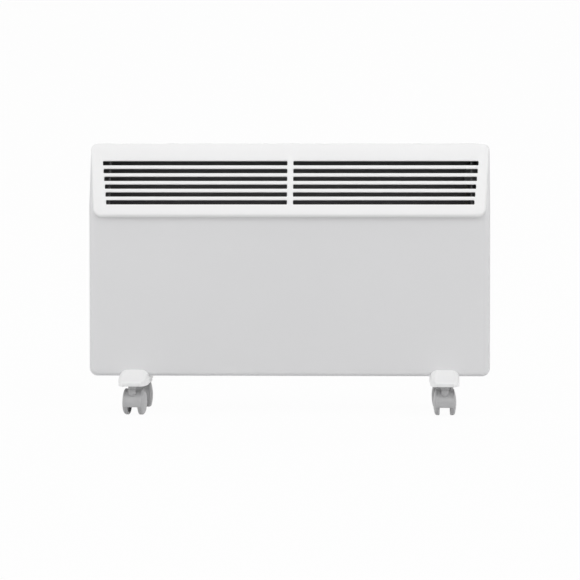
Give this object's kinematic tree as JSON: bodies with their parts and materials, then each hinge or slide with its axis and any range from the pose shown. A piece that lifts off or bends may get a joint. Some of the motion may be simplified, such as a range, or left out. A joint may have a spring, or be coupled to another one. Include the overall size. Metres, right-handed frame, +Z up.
{
  "type": "panel convector heater",
  "caption": "Flat panel convector heater on two castor feet: steel casing with a sloping slotted outlet hood, finned element inside and side controls.",
  "frame": {"origin": "on the floor, under the middle of the overall box, midway between the castors", "axes": "+Z up, -Y is the front with the outlet hood, +X is the side with the controls"},
  "size_m": [0.595, 0.177, 0.4012],
  "materials": {
    "casing_enamel": "powder coat, satin",
    "white_moulding": "satin moulded plastic",
    "black_sheet": "matt heat-proof black",
    "element_aluminium": "extruded",
    "rod_steel": "oxidised steel sheath",
    "zinc_steel": "zinc plated",
    "black_steel": "blackened steel",
    "ceramic_white": "unglazed",
    "black_moulding": "moulded",
    "wire_sleeve": "glass-fibre sleeve",
    "castor_moulding": "satin moulded nylon",
    "castor_tread": "moulded nylon"
  },
  "bodies": {
    "root": {"front_panel": "casing_enamel", "outlet_grille": "white_moulding", "rear_casing": "casing_enamel", "intake_grille": "white_moulding", "heat_shield": "black_sheet", "outlet_baffle": "black_sheet", "heating_element": "element_aluminium", "element_rod": "rod_steel", "element_bracket_left": "zinc_steel", "element_bracket_right": "zinc_steel", "element_insulators": "ceramic_white", "element_terminals": "zinc_steel", "thermal_cutout": "zinc_steel", "tilt_switch": "black_moulding", "terminal_block": "ceramic_white", "wiring_harness": "wire_sleeve", "cable_gland": "white_moulding", "control_panel": "white_moulding", "thermostat_body": "zinc_steel", "switch_body_upper": "black_moulding", "switch_body_lower": "black_moulding", "left_foot": "white_moulding", "right_foot": "white_moulding", "foot_screws": "zinc_steel", "casing_screws": "zinc_steel", "stem_sleeves": "zinc_steel"},
    "knob": {"thermostat_knob": "white_moulding", "thermostat_shaft": "zinc_steel"},
    "rocker_upper": {"rocker_upper": "black_moulding"},
    "rocker_lower": {"rocker_lower": "black_moulding"},
    "castor_front_left": {"hood_front_left": "castor_moulding", "stem_front_left": "black_steel", "axle_front_left": "zinc_steel"},
    "wheel_front_left_a": {"wheel_front_left_a": "castor_tread"},
    "wheel_front_left_b": {"wheel_front_left_b": "castor_tread"},
    "castor_front_right": {"hood_front_right": "castor_moulding", "stem_front_right": "black_steel", "axle_front_right": "zinc_steel"},
    "wheel_front_right_a": {"wheel_front_right_a": "castor_tread"},
    "wheel_front_right_b": {"wheel_front_right_b": "castor_tread"},
    "castor_rear_left": {"hood_rear_left": "castor_moulding", "stem_rear_left": "black_steel", "axle_rear_left": "zinc_steel"},
    "wheel_rear_left_a": {"wheel_rear_left_a": "castor_tread"},
    "wheel_rear_left_b": {"wheel_rear_left_b": "castor_tread"},
    "castor_rear_right": {"hood_rear_right": "castor_moulding", "stem_rear_right": "black_steel", "axle_rear_right": "zinc_steel"},
    "wheel_rear_right_a": {"wheel_rear_right_a": "castor_tread"},
    "wheel_rear_right_b": {"wheel_rear_right_b": "castor_tread"}
  },
  "joints": [
    {"name": "thermostat_turn", "type": "hinge", "parent": "root", "child": "knob", "pos_m": [0.2835, 0.022, 0.35485], "axis": [1, 0, 0], "range_deg": [0, 270]},
    {"name": "rocker_upper_tilt", "type": "hinge", "parent": "root", "child": "rocker_upper", "pos_m": [0.2837, 0.022, 0.30685], "axis": [0, 1, 0], "range_deg": [-18, 0]},
    {"name": "rocker_lower_tilt", "type": "hinge", "parent": "root", "child": "rocker_lower", "pos_m": [0.2837, 0.022, 0.27685], "axis": [0, 1, 0], "range_deg": [-18, 0]},
    {"name": "swivel_front_left", "type": "hinge", "parent": "root", "child": "castor_front_left", "pos_m": [-0.23, -0.07, 0.04415], "axis": [0, 0, 1], "continuous": true},
    {"name": "roll_front_left_a", "type": "hinge", "parent": "castor_front_left", "child": "wheel_front_left_a", "pos_m": [-0.22817, -0.05511, 0.01825], "axis": [0.9925, -0.1219, 0], "continuous": true},
    {"name": "roll_front_left_b", "type": "hinge", "parent": "castor_front_left", "child": "wheel_front_left_b", "pos_m": [-0.22817, -0.05511, 0.01825], "axis": [0.9925, -0.1219, 0], "continuous": true},
    {"name": "swivel_front_right", "type": "hinge", "parent": "root", "child": "castor_front_right", "pos_m": [0.23, -0.07, 0.04415], "axis": [0, 0, 1], "continuous": true},
    {"name": "roll_front_right_a", "type": "hinge", "parent": "castor_front_right", "child": "wheel_front_right_a", "pos_m": [0.23, -0.055, 0.01825], "axis": [1, 0, 0], "continuous": true},
    {"name": "roll_front_right_b", "type": "hinge", "parent": "castor_front_right", "child": "wheel_front_right_b", "pos_m": [0.23, -0.055, 0.01825], "axis": [1, 0, 0], "continuous": true},
    {"name": "swivel_rear_left", "type": "hinge", "parent": "root", "child": "castor_rear_left", "pos_m": [-0.23, 0.07, 0.04415], "axis": [0, 0, 1], "continuous": true},
    {"name": "roll_rear_left_a", "type": "hinge", "parent": "castor_rear_left", "child": "wheel_rear_left_a", "pos_m": [-0.23, 0.055, 0.01825], "axis": [1, 0, 0], "continuous": true},
    {"name": "roll_rear_left_b", "type": "hinge", "parent": "castor_rear_left", "child": "wheel_rear_left_b", "pos_m": [-0.23, 0.055, 0.01825], "axis": [1, 0, 0], "continuous": true},
    {"name": "swivel_rear_right", "type": "hinge", "parent": "root", "child": "castor_rear_right", "pos_m": [0.23, 0.07, 0.04415], "axis": [0, 0, 1], "continuous": true},
    {"name": "roll_rear_right_a", "type": "hinge", "parent": "castor_rear_right", "child": "wheel_rear_right_a", "pos_m": [0.23, 0.055, 0.01825], "axis": [1, 0, 0], "continuous": true},
    {"name": "roll_rear_right_b", "type": "hinge", "parent": "castor_rear_right", "child": "wheel_rear_right_b", "pos_m": [0.23, 0.055, 0.01825], "axis": [1, 0, 0], "continuous": true}
  ]
}
